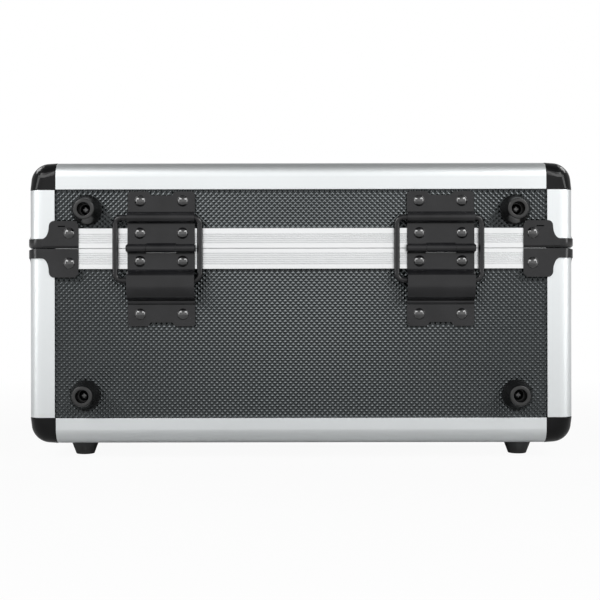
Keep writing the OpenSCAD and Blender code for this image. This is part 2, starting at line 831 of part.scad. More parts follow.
module lower_leaf(s) {
    color(BLACK)
        on_wall(REAR)
            translate([0, s * hinge_x, 0])
                difference() {
                    mirror([0, 0, 1])
                        union() {
                            intersection() {
                                along_wall(plate_w)
                                    lower_leaf_2d();
                                out_of_wall(-BIG / 50, BIG / 50)
                                    leaf_outline_2d(plate_w, leaf_start, lower_leaf_end);
                            }
                            for (k = SIDES)
                                translate([0, k * (plate_w / 2 + mid_knuckle_w + knuckle_gap) / 2, 0])
                                    along_wall(plate_w / 2 - mid_knuckle_w - knuckle_gap)
                                        knuckle_2d();
                        }
                    translate([hinge_out, 0, 0])
                        rotate([90, 0, 0])
                            cylinder(r = pin_r + pin_gap, h = 2 * plate_w, center = true);
                    bores([for (p = hinge_low) [p[0] - s * hinge_x, p[1]]]);
                }
}

// A rod of length 2 * half along the wall
module cross_rod(out, z, r, half) {
    translate([out, 0, z])
        rotate([90, 0, 0])
            cylinder(r = r, h = 2 * half, center = true);
}

// Closed wire ring, drawn flat with its middle at the origin
module wire_ring(half_w, half_h, bend, r) {
    for (s = SIDES) {
        translate([0, s * half_h, 0])
            rotate([0, 90, 0])
                cylinder(r = r, h = 2 * (half_w - bend), center = true);
        translate([s * half_w, 0, 0])
            rotate([90, 0, 0])
                cylinder(r = r, h = 2 * (half_h - bend), center = true);
    }
    for (k = [0:3])
        translate([(k == 0 || k == 3 ? 1 : -1) * (half_w - bend), (k < 2 ? 1 : -1) * (half_h - bend), 0])
            rotate([0, 0, 90 * k])
                rotate_extrude(angle = 90)
                    translate([bend, 0])
                        circle(r = r);
}

module stay_ring(s, slide) {
    color(BLACK)
        on_wall(REAR)
            translate([stay_out, s * hinge_x - slide, (stay_up - stay_down) / 2])
                rotate([90, 0, 90])
                    wire_ring(stay_half_w, (stay_up + stay_down) / 2, stay_bend, wire_d / 2);
}

// Tapered rubber buffer along +Z from the origin, with a bore for its screw
tip_steps = 4;
module buffer(d, tip_d, h, bore, lip) {
    difference() {
        rotate_extrude()
            polygon(concat(
                [[0, 0], [d / 2, 0], [d / 2, lip]],
                [for (i = [0:tip_steps])
                    let (a = 90 * i / tip_steps)
                    [tip_d / 2 - buffer_round * (1 - cos(a)), h - buffer_round * (1 - sin(a))]],
                [[0, h]]));
        translate([0, 0, screw_seat])
            cylinder(r = bore / 2, h = h);
        translate([0, 0, -1])
            cylinder(r = shank_r + shank_gap, h = h);
    }
}

// Cross-recessed screw, head at z = 0 upward, shank going down
cross_len = 3.4;
cross_w = 0.8;
cross_d = 1.2;
module screw(shank_len) {
    difference() {
        union() {
            rotate_extrude()
                dome_2d(screw_head_d / 2, screw_head_h);
            translate([0, 0, -shank_len])
                cylinder(r = shank_r, h = shank_len + 0.1);
        }
        for (a = [0, 90])
            rotate([0, 0, a])
                translate([-cross_len / 2, -cross_w / 2, screw_head_h - cross_d])
                    cube([cross_len, cross_w, 2 * cross_d]);
    }
}

module rear_bumpers(spots) {
    for (p = spots)
        on_wall(REAR)
            translate([-panel_in, p[0], p[1]])
                rotate([0, 90, 0])
                    buffer(bumper_d, bumper_tip_d, bumper_h, bumper_bore, bumper_lip);
}

module rear_bumper_screws(spots) {
    for (p = spots)
        on_wall(REAR)
            translate([-panel_in + screw_seat, p[0], p[1]])
                rotate([0, 90, 0])
                    screw(screw_seat + panel_t + tail_t);
}

module foot_bores() {
    for (p = foot_spots)
        translate([p[0], p[1], 0])
            cylinder(r = shank_r + shank_gap, h = BIG / 20);
}

// Latch parts are drawn in the front wall's frame, round the middle of one latch
ear_in = lever_half_w + latch_gap;
ear_r = 4;
cheek_r = 3.4;

module latch_plate_2d() {
    square([plate_t, base_rim_h - leaf_start + plate_t]);
    translate([-panel_in, base_rim_h - leaf_start])
        square([panel_in + plate_t, plate_t]);
    translate([-panel_in, base_rim_h - leaf_start])
        square([plate_t, latch_end - base_rim_h]);
}

module latch_plate() {
    difference() {
        union() {
            translate([0, 0, -leaf_start])
                mirror([0, 0, 1])
                    intersection() {
                        along_wall(latch_w)
                            latch_plate_2d();
                        out_of_wall(-BIG / 50, BIG / 50)
                            translate([-latch_w / 2, -1])
                                square([latch_w, latch_end - leaf_start + 1]);
                    }
            for (s = SIDES)
                translate([0, s * (ear_in + lever_t / 2), 0])
                    along_wall(lever_t) {
                        translate([0, -pivot_z - ear_r + 0.5])
                            square([pivot_out, 2 * ear_r - 1]);
                        translate([pivot_out, -pivot_z])
                            circle(r = ear_r);
                    }
        }
        cross_rod(pivot_out, -pivot_z, latch_pin_r + pin_gap, latch_w);
        bores([for (p = latch_spots) if (p[0] > 0) [p[0] - hinge_x, p[1]]]);
    }
}

// Two stub pins that carry the lever's cheeks in the ears
module latch_pivot_pair() {
    stub = 2 * lever_t + latch_gap + 0.4;
    for (s = SIDES)
        translate([pivot_out, s * (lever_half_w - lever_t - 0.2), -pivot_z])
            rotate([s > 0 ? -90 : 90, 0, 0]) {
                cylinder(r = latch_pin_r, h = stub);
                translate([0, 0, stub])
                    cylinder(r = latch_pin_r + 1, h = 0.8);
            }
}

grip_top = crank_z - 3.4;
grip_low = crank_z - grip_len;

module cheek_2d() {
    translate([pivot_out, -pivot_z])
        circle(r = cheek_r);
    translate([crank_out, crank_z])
        circle(r = cheek_r);
    polygon([[pivot_out - 2.6, -pivot_z], [pivot_out + 2.8, -pivot_z], [grip_out + lever_t, crank_z - 2],
             [grip_out + lever_t, grip_low + 6], [grip_out - 2, grip_low + 6],
             [crank_out - 2.8, crank_z - 1]]);
}

module grip_plate_2d() {
    translate([grip_out, grip_low])
        square([lever_t, grip_top - grip_low]);
    polygon([[grip_out, grip_low + lever_t / 4], [grip_out + lever_t, grip_low + lever_t / 4],
             [grip_out + lever_t + grip_curl, grip_low - grip_tip_h + lever_t / 2],
             [grip_out + grip_curl, grip_low - grip_tip_h]]);
}

module lever() {
    difference() {
        union() {
            for (s = SIDES)
                translate([0, s * (lever_half_w - lever_t / 2), 0])
                    along_wall(lever_t)
                        cheek_2d();
            along_wall(2 * lever_half_w)
                grip_plate_2d();
        }
        cross_rod(pivot_out, -pivot_z, latch_pin_r + pin_gap, lever_half_w + 1);
    }
    cross_rod(crank_out, crank_z, latch_pin_r, lever_half_w - lever_t / 2);
}

claw_barrel_r = latch_pin_r + 1.1;
claw_out = crank_out - lever_t / 2;
claw_top = tooth_z + lever_t;
claw_window_up = 9;
claw_window_h = 14;

module claw() {
    difference() {
        along_wall(2 * claw_half_w) {
            translate([claw_out, crank_z])
                square([lever_t, claw_top - crank_z]);
            translate([tooth_out, tooth_z])
                square([claw_out + lever_t - tooth_out, lever_t]);
            translate([crank_out, crank_z])
                circle(r = claw_barrel_r);
        }
        cross_rod(crank_out, crank_z, latch_pin_r + pin_gap, claw_half_w + 1);
        out_of_wall(0, BIG / 50)
            translate([-claw_half_w * 0.45, crank_z + claw_window_up])
                square([claw_half_w * 0.9, claw_window_h]);
    }
}

lip_out = 7.4;
lip_top = tooth_z - latch_gap;
keeper_half_w = keeper_rivet_x + rivet_d / 2 + 0.6;
module keeper() {
    difference() {
        union() {
            translate([0, -keeper_half_w, 1.4])
                cube([plate_t, 2 * keeper_half_w, lid_rim_h - 1.4]);
            along_wall(2 * (keeper_rivet_x - rivet_d / 2 - 0.4)) {
                translate([0, lip_top - 3.8])
                    square([lip_out, plate_t]);
                translate([lip_out - plate_t, lip_top - 3.8])
                    square([plate_t, 3.8]);
            }
        }
        bores([for (p = keeper_spots) if (p[0] > 0) [p[0] - hinge_x, p[1]]]);
    }
}

// Carry handle, drawn in the front wall's frame
eye_r = bar_d / 2 + pin_gap + eye_t;
module handle_bracket() {
    difference() {
        union() {
            translate([-panel_in, -bracket_w / 2, -handle_z - handle_plate_h / 2])
                cube([plate_t, bracket_w, handle_plate_h]);
            translate([-panel_in, -bracket_w / 2, -handle_z - eye_t])
                cube([handle_out + panel_in, bracket_w, 2 * eye_t]);
            cross_rod(handle_out, -handle_z, eye_r, bracket_w / 2);
        }
        cross_rod(handle_out, -handle_z, bar_d / 2 + pin_gap, bracket_w);
        bores([for (z = [handle_high_z, handle_low_z]) [0, -z]]);
    }
}

bar_end = eye_x + bracket_w / 2 + 1.5;
module handle_bar() {
    r = bar_d / 2;
    color(STEEL)
        on_wall(FRONT)
            translate([handle_out, 0, -handle_z])
                rotate([90, 0, 90]) {
                    for (s = SIDES) {
                        translate([s * (arm_x + bar_bend), 0, 0])
                            rotate([0, s * 90, 0])
                                cylinder(r = r, h = bar_end - arm_x - bar_bend);
                        translate([s * arm_x, -bar_bend, 0])
                            rotate([90, 0, 0])
                                cylinder(r = r, h = arm_len - 2 * bar_bend);
                        translate([s * (arm_x + bar_bend), -bar_bend, 0])
                            rotate([0, 0, s > 0 ? 90 : 0])
                                rotate_extrude(angle = 90)
                                    translate([bar_bend, 0])
                                        circle(r = r);
                        translate([s * (arm_x - bar_bend), -arm_len + bar_bend, 0])
                            rotate([0, 0, s > 0 ? 270 : 180])
                                rotate_extrude(angle = 90)
                                    translate([bar_bend, 0])
                                        circle(r = r);
                    }
                    translate([0, -arm_len, 0])
                        rotate([0, 90, 0])
                            cylinder(r = r, h = 2 * (arm_x - bar_bend), center = true);
                }
}

grip_half = arm_x - bar_bend;
grip_bevel = 1.5;
grip_collar = 6;
grip_taper = 3;
grip_waist = 1;
module handle_grip() {
    r = grip_d / 2;
    color(RUBBER)
        on_wall(FRONT)
            translate([handle_out, 0, -handle_z - arm_len])
                rotate([90, 0, 0])
                    rotate_extrude()
                        polygon([[bar_d / 2, -grip_half], [r - grip_bevel, -grip_half],
                                 [r, -grip_half + grip_bevel], [r, -grip_half + grip_collar],
                                 [r - grip_waist, -grip_half + grip_collar + grip_taper],
                                 [r - grip_waist, grip_half - grip_collar - grip_taper],
                                 [r, grip_half - grip_collar], [r, grip_half - grip_bevel],
                                 [r - grip_bevel, grip_half], [bar_d / 2, grip_half]]);
}

// Foam insert
foam_half_w = shell_w / 2 - grip_in - foam_gap;
foam_half_d = shell_d / 2 - grip_in - foam_gap;
foam_z = foot_h + grip_in;
foam_low = foam_z + foam_floor_t;
foam_high = seam_z - foam_below;
foam_tall = foam_high - foam_low;
well_field = 2 * (foam_half_w - foam_wall);
well_w = (well_field - (mic_cols - 1) * foam_divider) / mic_cols;

module foam_block(x, y, w, d) {
    translate([x, shell_y + y, foam_low])
        cube([w, d, foam_tall]);
}

module base_bottom_panel() {
    color(PANEL)
        difference() {
            flat_panel(foot_h + panel_in);
            foot_bores();
        }
}

module base_rear_panel() {
    color(PANEL)
        difference() {
            wall_panel(REAR, base_panel_low, base_panel_high);
            on_wall(REAR) {
                bores(concat(hinge_low, bracket_spots(REAR, -base_bracket_rivet_z)));
                bores(base_bumper_spots);
            }
        }
}

module base_front_panel() {
    color(PANEL)
        difference() {
            wall_panel(FRONT, base_panel_low, base_panel_high);
            on_wall(FRONT)
                bores(concat(latch_spots, handle_spots, bracket_spots(FRONT, -base_bracket_rivet_z)));
        }
}

module base_side_panels() {
    color(PANEL)
        for (wall = [LEFT, RIGHT])
            difference() {
                wall_panel(wall, base_panel_low, base_panel_high);
                on_wall(wall)
                    bores(bracket_spots(wall, -base_bracket_rivet_z));
            }
}

module base_edge_rear() {
    color(ALU) base_edge(REAR);
}

module base_edge_front() {
    color(ALU) base_edge(FRONT);
}

module base_edge_sides() {
    color(ALU) {
        base_edge(LEFT);
        base_edge(RIGHT);
    }
}

module base_corner_posts() {
    color(ALU)
        on_corners()
            translate([0, 0, foot_h + base_cap_h])
                linear_extrude(base_h - base_cap_h - half_gap)
                    edge_2d(edge_leg, edge_leg);
}

module base_corner_caps() {
    color(BLACK)
        on_corners()
            translate([0, 0, foot_h])
                cap(base_cap_h);
}

module base_rim(wall, spots) {
    color(ALU)
        difference() {
            rim(wall)
                base_rim_2d();
            on_wall(wall)
                bores(concat(spots, bracket_spots(wall, -base_bracket_rivet_z)));
        }
}

module base_rim_rear() {
    base_rim(REAR, hinge_low);
}

module base_rim_front() {
    base_rim(FRONT, latch_spots);
}

module base_rim_sides() {
    base_rim(LEFT, []);
    base_rim(RIGHT, []);
}

module base_corner_brackets() {
    color(BLACK)
        difference() {
            on_corners()
                translate([0, 0, seam_z - bracket_gap])
                    mirror([0, 0, 1])
                        corner_bracket(base_bracket_h);
            for (wall = [REAR, FRONT, LEFT, RIGHT])
                on_wall(wall)
                    bores(bracket_spots(wall, -base_bracket_rivet_z));
        }
}

module base_bracket_rivets() {
    color(BLACK)
        for (wall = [REAR, FRONT, LEFT, RIGHT])
            on_wall(wall)
                for (p = bracket_spots(wall, -base_bracket_rivet_z))
                    wall_rivet(p, bracket_t, grip_in);
}

module feet() {
    color(RUBBER)
        for (p = foot_spots)
            translate([p[0], p[1], foot_h + panel_in])
                mirror([0, 0, 1])
                    buffer(foot_d, foot_tip_d, foot_h + panel_in, bumper_bore, bumper_lip);
}

module foot_screws() {
    color(STEEL)
        for (p = foot_spots)
            translate([p[0], p[1], foot_h + panel_in - screw_seat])
                mirror([0, 0, 1])
                    screw(screw_seat + panel_t + tail_t / 2);
}

module base_bumpers() {
    color(RUBBER) rear_bumpers(base_bumper_spots);
}

module base_bumper_screws() {
    color(BLACK) rear_bumper_screws(base_bumper_spots);
}

module hinge_lower_leaf_left() {
    lower_leaf(-1);
}

module hinge_lower_leaf_right() {
    lower_leaf(1);
}

// Rim rivets seat on the plate at the rim face, the others on the plate at the panel
module plate_rivets(wall, spots, rim_end) {
    color(BLACK)
        on_wall(wall)
            for (p = spots)
                if (abs(p[1]) < rim_end)
                    wall_rivet(p, plate_t, grip_in);
                else
                    wall_rivet(p, plate_t - panel_in, lip_in);
}

module hinge_lower_rivets() {
    plate_rivets(REAR, hinge_low, base_rim_h);
}

module hinge_pins() {
    color(BLACK)
        on_wall(REAR)
            for (s = SIDES)
                translate([0, s * hinge_x, 0]) {
                    cross_rod(hinge_out, 0, pin_r, plate_w / 2);
                    for (k = SIDES)
                        translate([0, k * (plate_w + pin_head_t) / 2, 0])
                            cross_rod(hinge_out, 0, pin_head_r, pin_head_t / 2);
                }
}

module latch_plates() {
    color(BLACK)
        on_wall(FRONT)
            for (s = SIDES)
                translate([0, s * hinge_x, 0])
                    latch_plate();
}

module latch_plate_rivets() {
    plate_rivets(FRONT, latch_spots, base_rim_h);
}

module latch_pivot_pins() {
    color(STEEL)
        on_wall(FRONT)
            for (s = SIDES)
                translate([0, s * hinge_x, 0])
                    latch_pivot_pair();
}

module handle_brackets() {
    color(BLACK)
        on_wall(FRONT)
            for (s = SIDES)
                translate([0, s * eye_x, 0])
                    handle_bracket();
}

module handle_rivets() {
    plate_rivets(FRONT, handle_spots, base_rim_h);
}

module foam_floor() {
    color(FOAM)
        translate([-foam_half_w, shell_y - foam_half_d, foam_z])
            cube([2 * foam_half_w, 2 * foam_half_d, foam_floor_t]);
}

module foam_walls() {
    color(FOAM) {
        for (y = [-foam_half_d, foam_half_d - foam_wall])
            foam_block(-foam_half_w, y, 2 * foam_half_w, foam_wall);
        for (x = [-foam_half_w, foam_half_w - foam_wall])
            foam_block(x, -foam_half_d + foam_wall, foam_wall, 2 * (foam_half_d - foam_wall));
    }
}

module foam_dividers() {
    color(FOAM)
        for (row = [0:mic_rows - 1]) {
            y = -foam_half_d + foam_wall + row * (well_d + foam_divider);
            foam_block(-well_field / 2, y + well_d, well_field, foam_divider);
            for (i = [1:mic_cols - 1])
                foam_block(-well_field / 2 + i * (well_w + foam_divider) - foam_divider, y,
                           foam_divider, well_d);
        }
}

module lid_top_panel() {
    color(PANEL) flat_panel(shell_top - lip_in);
}

module lid_rear_panel() {
    color(PANEL)
        difference() {
            wall_panel(REAR, lid_panel_low, lid_panel_high);
            on_wall(REAR)
                bores(concat(hinge_high, bracket_spots(REAR, lid_rim_rivet_z), lid_bumper_spots));
        }
}

module lid_front_panel() {
    color(PANEL)
        difference() {
            wall_panel(FRONT, lid_panel_low, lid_panel_high);
            on_wall(FRONT)
                bores(concat(keeper_spots, bracket_spots(FRONT, lid_rim_rivet_z)));
        }
}

module lid_side_panels() {
    color(PANEL)
        for (wall = [LEFT, RIGHT])
            difference() {
                wall_panel(wall, lid_panel_low, lid_panel_high);
                on_wall(wall)
                    bores(bracket_spots(wall, lid_rim_rivet_z));
            }
}

module lid_edge_rear() {
    color(ALU) lid_edge(REAR);
}

module lid_edge_front() {
    color(ALU) lid_edge(FRONT);
}

module lid_edge_sides() {
    color(ALU) {
        lid_edge(LEFT);
        lid_edge(RIGHT);
    }
}

module lid_corner_posts() {
    color(ALU)
        on_corners()
            translate([0, 0, seam_z + half_gap])
                linear_extrude(lid_h - lid_cap_h - half_gap)
                    edge_2d(edge_leg, edge_leg);
}

module lid_corner_caps() {
    color(BLACK)
        on_corners()
            translate([0, 0, shell_top])
                mirror([0, 0, 1])
                    cap(lid_cap_h);
}

module lid_rim(wall, spots) {
    color(ALU)
        difference() {
            rim(wall)
                lid_rim_2d();
            on_wall(wall)
                bores(concat(spots, bracket_spots(wall, lid_rim_rivet_z)));
        }
}

module lid_rim_rear() {
    lid_rim(REAR, hinge_high);
}

module lid_rim_front() {
    lid_rim(FRONT, keeper_spots);
}

module lid_rim_sides() {
    lid_rim(LEFT, []);
    lid_rim(RIGHT, []);
}

module lid_corner_brackets() {
    color(BLACK)
        difference() {
            on_corners()
                translate([0, 0, seam_z + bracket_gap])
                    difference() {
                        intersection() {
                            corner_bracket(lid_bracket_h);
                            beveled_room();
                        }
                        bracket_slots();
                    }
            for (wall = [REAR, FRONT, LEFT, RIGHT])
                on_wall(wall)
                    bores(bracket_spots(wall, lid_rim_rivet_z));
        }
}

module lid_bracket_rivets() {
    color(BLACK)
        for (wall = [REAR, FRONT, LEFT, RIGHT])
            on_wall(wall)
                for (p = bracket_spots(wall, lid_rim_rivet_z))
                    wall_rivet(p, bracket_t, grip_in);
}

module lid_bumpers() {
    color(RUBBER) rear_bumpers(lid_bumper_spots);
}

module lid_bumper_screws() {
    color(BLACK) rear_bumper_screws(lid_bumper_spots);
}

module hinge_upper_leaf_left() {
    upper_leaf(-1);
}

module hinge_upper_leaf_right() {
    upper_leaf(1);
}

module hinge_upper_rivets() {
    plate_rivets(REAR, hinge_high, lid_rim_h);
}

module latch_keepers() {
    color(BLACK)
        on_wall(FRONT)
            for (s = SIDES)
                translate([0, s * hinge_x, 0])
                    keeper();
}

module keeper_rivets() {
    plate_rivets(FRONT, keeper_spots, lid_rim_h);
}

module lid_foam() {
    color(FOAM)
        translate([-foam_half_w, shell_y - foam_half_d, shell_top - grip_in - lid_foam_t])
            cube([2 * foam_half_w, 2 * foam_half_d, lid_foam_t]);
}

module stay_ring_left() {
    stay_ring(-1, stay_slide_left);
}

module stay_ring_right() {
    stay_ring(1, stay_slide_right);
}

// In the front wall's frame +Y runs to the photograph's left
module latch_lever_left() {
    color(BLACK) on_wall(FRONT) translate([0, hinge_x, 0]) lever();
}

module latch_lever_right() {
    color(BLACK) on_wall(FRONT) translate([0, -hinge_x, 0]) lever();
}

module latch_claw_left() {
    color(BLACK) on_wall(FRONT) translate([0, hinge_x, 0]) claw();
}

module latch_claw_right() {
    color(BLACK) on_wall(FRONT) translate([0, -hinge_x, 0]) claw();
}

base_bottom_panel();
base_rear_panel();
base_front_panel();
base_side_panels();
base_edge_rear();
base_edge_front();
base_edge_sides();
base_corner_posts();
base_corner_caps();
base_rim_rear();
base_rim_front();
base_rim_sides();
base_corner_brackets();
base_bracket_rivets();
feet();
foot_screws();
base_bumpers();
base_bumper_screws();
hinge_lower_leaf_left();
hinge_lower_leaf_right();
hinge_lower_rivets();
hinge_pins();
latch_plates();
latch_plate_rivets();
latch_pivot_pins();
handle_brackets();
handle_rivets();
foam_floor();
foam_walls();
foam_dividers();
lid_top_panel();
lid_rear_panel();
lid_front_panel();
lid_side_panels();
lid_edge_rear();
lid_edge_front();
lid_edge_sides();
lid_corner_posts();
lid_corner_caps();
lid_rim_rear();
lid_rim_front();
lid_rim_sides();
lid_corner_brackets();
lid_bracket_rivets();
lid_bumpers();
lid_bumper_screws();
hinge_upper_leaf_left();
hinge_upper_leaf_right();
hinge_upper_rivets();
latch_keepers();
keeper_rivets();
lid_foam();
stay_ring_left();
stay_ring_right();
latch_lever_left();
latch_lever_right();
latch_claw_left();
latch_claw_right();
handle_bar();
handle_grip();
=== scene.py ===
import json
import math
import bpy
import bmesh
import numpy as np
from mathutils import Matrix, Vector


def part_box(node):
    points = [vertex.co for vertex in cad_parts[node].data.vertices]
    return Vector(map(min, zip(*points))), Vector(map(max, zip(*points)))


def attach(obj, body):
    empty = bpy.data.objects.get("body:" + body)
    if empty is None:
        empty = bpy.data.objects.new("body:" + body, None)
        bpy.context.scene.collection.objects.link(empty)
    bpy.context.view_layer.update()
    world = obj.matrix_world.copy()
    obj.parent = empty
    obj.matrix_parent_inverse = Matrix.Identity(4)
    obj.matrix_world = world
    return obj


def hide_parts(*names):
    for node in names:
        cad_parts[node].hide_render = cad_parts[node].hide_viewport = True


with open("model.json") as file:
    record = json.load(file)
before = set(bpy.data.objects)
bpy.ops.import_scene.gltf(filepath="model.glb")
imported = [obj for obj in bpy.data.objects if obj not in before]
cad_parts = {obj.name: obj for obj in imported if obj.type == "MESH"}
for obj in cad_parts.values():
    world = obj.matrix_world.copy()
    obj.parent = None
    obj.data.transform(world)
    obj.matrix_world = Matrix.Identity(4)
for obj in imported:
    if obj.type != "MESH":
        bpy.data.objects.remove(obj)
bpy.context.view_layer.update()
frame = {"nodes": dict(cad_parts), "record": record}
NODES = frame["nodes"]
MM = 0.001


def link(obj):
    bpy.context.scene.collection.objects.link(obj)
    return obj


# Places that the camera and the lamps hang on; the rim's box ends at the top of its locating tongue
TONGUE = 3.0 * MM
MID_HEIGHT = 0.12
rear_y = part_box("base_edge_rear")[0].y
front_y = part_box("base_edge_front")[1].y
seam_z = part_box("base_rim_rear")[1].z - TONGUE

# Camera, straight behind the case, with a slight roll
VIEW_DISTANCE = 0.85
VIEW_WIDTH = 0.45
SENSOR = 36
ROLL = math.radians(0.094)
EYE_ASIDE = -0.78 * MM
EYE_BELOW_SEAM = 38.8 * MM
camera_data = bpy.data.cameras.new("camera")
camera_data.sensor_width = SENSOR
camera_data.lens = SENSOR * VIEW_DISTANCE / VIEW_WIDTH
camera = link(bpy.data.objects.new("camera", camera_data))
camera.location = (EYE_ASIDE, rear_y - VIEW_DISTANCE, seam_z - EYE_BELOW_SEAM)
camera.rotation_euler = (math.pi / 2, ROLL, 0)
bpy.context.scene.camera = camera
bpy.context.scene.view_settings.view_transform = "Standard"


# Node helpers
def find(tree, kind):
    return next(n for n in tree.nodes if n.type == kind)


def math_node(tree, operation, first, second, clamp=False):
    """A Math node whose inputs are numbers or the outputs of other nodes."""
    node = tree.nodes.new("ShaderNodeMath")
    node.operation = operation
    node.use_clamp = clamp
    for socket, value in zip(node.inputs, (first, second)):
        if isinstance(value, float):
            socket.default_value = value
        else:
            tree.links.new(value, socket)
    return node.outputs[0]


def map_range(tree, value, start, end, at_start, at_end):
    """Runs from at_start to at_end as the value runs from start to end."""
    node = tree.nodes.new("ShaderNodeMapRange")
    node.inputs["From Min"].default_value = start
    node.inputs["From Max"].default_value = end
    node.inputs["To Min"].default_value = at_start
    node.inputs["To Max"].default_value = at_end
    tree.links.new(value, node.inputs["Value"])
    return node.outputs["Result"]


# Nearly all of a noise's values lie in this band
NOISE_BAND = (0.3, 0.7)


def noise(tree, place, scale, detail):
    tex = tree.nodes.new("ShaderNodeTexNoise")
    tex.inputs["Scale"].default_value = scale
    tex.inputs["Detail"].default_value = detail
    tree.links.new(place, tex.inputs["Vector"])
    return tex.outputs["Fac"]


def blend_colour(tree, value, dark, light, band=NOISE_BAND):
    ramp = tree.nodes.new("ShaderNodeValToRGB")
    for element, position, colour in zip(ramp.color_ramp.elements, band, (dark, light)):
        element.position = position
        element.color = (*colour, 1)
    tree.links.new(value, ramp.inputs["Fac"])
    return ramp.outputs["Color"]


def bump(tree, shader, height, distance, strength):
    """A bump on the shader, on top of the one that it already has."""
    node = tree.nodes.new("ShaderNodeBump")
    node.inputs["Distance"].default_value = distance
    node.inputs["Strength"].default_value = strength
    tree.links.new(height, node.inputs["Height"])
    normal = shader.inputs["Normal"]
    if normal.is_linked:
        tree.links.new(normal.links[0].from_socket, node.inputs["Normal"])
    tree.links.new(node.outputs["Normal"], normal)


# Materials
def new_material(name):
    mat = bpy.data.materials.new(name)
    mat.use_nodes = True
    tree = mat.node_tree
    place = tree.nodes.new("ShaderNodeTexCoord")
    return mat, tree, find(tree, "BSDF_PRINCIPLED"), place.outputs["Object"]


def aluminium(name, colour, rough):
    mat, tree, shader, place = new_material(name)
    shader.inputs["Metallic"].default_value = 1.0
    cloud = noise(tree, place, scale=9, detail=2)
    dulled = [channel * 0.96 for channel in colour]
    tree.links.new(blend_colour(tree, cloud, dulled, colour), shader.inputs["Base Color"])
    grain = noise(tree, place, scale=900, detail=2)
    tree.links.new(map_range(tree, grain, *NOISE_BAND, *rough), shader.inputs["Roughness"])
    bump(tree, shader, grain, distance=0.012 * MM, strength=0.5)
    return mat


def black_coat(name, dark, light, rough, scale, depth, shine=0.5, coat=0.0):
    """Paint, plastic, rubber or foam: clouded colour and gloss, with a grain of a scale and depth."""
    mat, tree, shader, place = new_material(name)
    shader.inputs["Specular IOR Level"].default_value = shine
    shader.inputs["Coat Weight"].default_value = coat
    shader.inputs["Coat Roughness"].default_value = 0.08
    cloud = noise(tree, place, scale=60, detail=4)
    tree.links.new(blend_colour(tree, cloud, dark, light), shader.inputs["Base Color"])
    tree.links.new(map_range(tree, cloud, *NOISE_BAND, *rough), shader.inputs["Roughness"])
    bump(tree, shader, noise(tree, place, scale, detail=3), distance=depth, strength=0.6)
    return mat


def laminate(name):
    """Black laminate; the attribute peak, from valley to tip of each pyramid, rounds the valleys."""
    mat = black_coat(name, dark=(0.0026, 0.0034, 0.0035), light=(0.0042, 0.0054, 0.0056),
                     rough=(0.13, 0.18), scale=2500, depth=0.01 * MM, shine=0.75)
    tree = mat.node_tree
    shader = find(tree, "BSDF_PRINCIPLED")
    shader.inputs["Specular Tint"].default_value = (0.93, 1.0, 1.03, 1)
    attribute = tree.nodes.new("ShaderNodeAttribute")
    attribute.attribute_name = "peak"
    peak = attribute.outputs["Fac"]
    hollow = math_node(tree, "SUBTRACT", math_node(tree, "POWER", peak, 2.0), peak)
    bump(tree, shader, hollow, distance=0.35 * MM, strength=1.0)
    return mat


def bumper_rubber(name):
    """Dark moulded rubber, paler and rougher on the tips of the bumpers behind the case and on the feet."""
    mat, tree, shader, place = new_material(name)
    split = tree.nodes.new("ShaderNodeSeparateXYZ")
    tree.links.new(place, split.inputs[0])
    tip_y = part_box("lid_bumpers")[0].y
    foot_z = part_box("feet")[1].z
    fade = 1.4 * MM
    tips = map_range(tree, split.outputs["Y"], start=tip_y, end=tip_y + fade, at_start=0.5, at_end=0.0)
    feet = map_range(tree, split.outputs["Z"], start=foot_z, end=foot_z + fade, at_start=1.0, at_end=0.0)
    # Mask for paler colour: full on the feet, half on the bumper tips that face the camera side
    pale_tips_and_feet = math_node(tree, "MAXIMUM", tips, feet)
    colour = blend_colour(tree, pale_tips_and_feet, dark=(0.004, 0.004, 0.004), light=(0.06, 0.06, 0.06), band=(0.3, 0.8))
    tree.links.new(colour, shader.inputs["Base Color"])
    roughness = map_range(tree, pale_tips_and_feet, start=0.0, end=1.0, at_start=0.24, at_end=0.46)
    tree.links.new(roughness, shader.inputs["Roughness"])
    bump(tree, shader, noise(tree, place, scale=900, detail=3), distance=0.03 * MM, strength=0.6)
    return mat


METALS = {
    "satin_aluminium": {"colour": (0.845, 0.872, 0.88), "rough": (0.42, 0.5)},
    "ribbed_aluminium": {"colour": (0.91, 0.92, 0.925), "rough": (0.28, 0.36)},
    "bright_steel": {"colour": (0.62, 0.62, 0.63), "rough": (0.22, 0.32)},
}
COATS = {
    "gloss_plastic": {"dark": (0.003, 0.003, 0.0032), "light": (0.005, 0.005, 0.0054),
                      "rough": (0.14, 0.2), "scale": 300, "depth": 0.01 * MM, "shine": 0.24},
    "black_fastener": {"dark": (0.004, 0.004, 0.0045), "light": (0.006, 0.006, 0.0065),
                       "rough": (0.12, 0.18), "scale": 700, "depth": 0.01 * MM, "shine": 1.0, "coat": 1.0},
    "black_steel": {"dark": (0.004, 0.004, 0.0048), "light": (0.013, 0.013, 0.0145),
                    "rough": (0.14, 0.26), "scale": 1600, "depth": 0.012 * MM, "shine": 0.48},
    "grip_rubber": {"dark": (0.024, 0.024, 0.025), "light": (0.034, 0.034, 0.035),
                    "rough": (0.55, 0.7), "scale": 1200, "depth": 0.06 * MM},
    "foam": {"dark": (0.030, 0.030, 0.033), "light": (0.075, 0.075, 0.080),
             "rough": (0.9, 1.0), "scale": 500, "depth": 0.6 * MM},
}
MATERIALS = {"laminate": laminate("laminate"), "rubber": bumper_rubber("rubber")}
MATERIALS.update({slot: aluminium(slot, **look) for slot, look in METALS.items()})
MATERIALS.update({slot: black_coat(slot, **look) for slot, look in COATS.items()})
SLOT_OF = {row["node"]: row["material_slot"] for row in frame["record"]["subparts"]}


def dress(obj, slot):
    obj.data.materials.clear()
    obj.data.materials.append(MATERIALS[slot])


